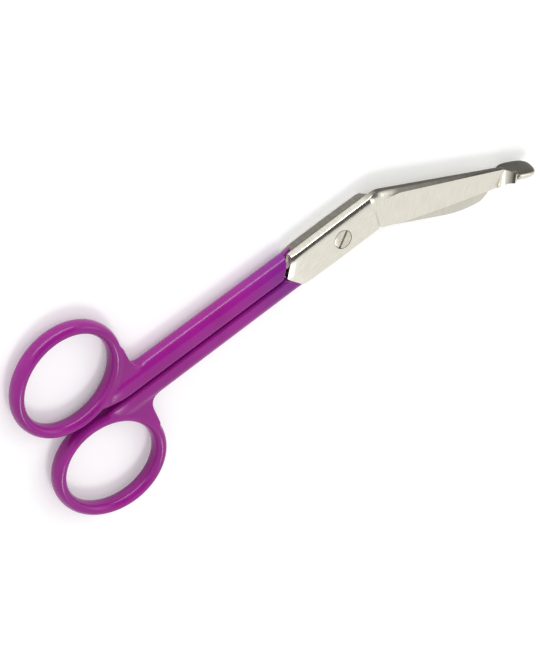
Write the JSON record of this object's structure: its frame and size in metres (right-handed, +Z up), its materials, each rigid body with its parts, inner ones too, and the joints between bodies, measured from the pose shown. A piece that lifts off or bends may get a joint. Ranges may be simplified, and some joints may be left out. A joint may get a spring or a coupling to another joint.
{
  "type": "bandage scissors",
  "caption": "Bandage scissors with blades bent at an angle, a flat button on the longer blade and plastic-coated finger rings.",
  "frame": {"origin": "where the pivot screw's axis meets the flat underside of the joint", "axes": "+X along the parting line from the finger rings to the blades, +Z up the screw's axis to its slotted head, +Y towards the ring of the blunt half"},
  "size_m": [0.1397, 0.0536, 0.006],
  "materials": {
    "steel": "satin ground faces with polished round edges",
    "screw_steel": "satin, ground flush",
    "handle_coating": "glossy dipped plastic"
  },
  "bodies": {
    "blunt_side": {"blunt_half": "steel", "pivot_screw": "screw_steel", "blunt_handle_coating": "handle_coating"},
    "probe_side": {"probe_half": "steel", "probe_handle_coating": "handle_coating"}
  },
  "joints": [
    {"name": "pivot", "type": "hinge", "parent": "blunt_side", "child": "probe_side", "pos_m": [0, 0, 0.0028], "axis": [0, 0, 1], "range_deg": [0, 90]}
  ]
}
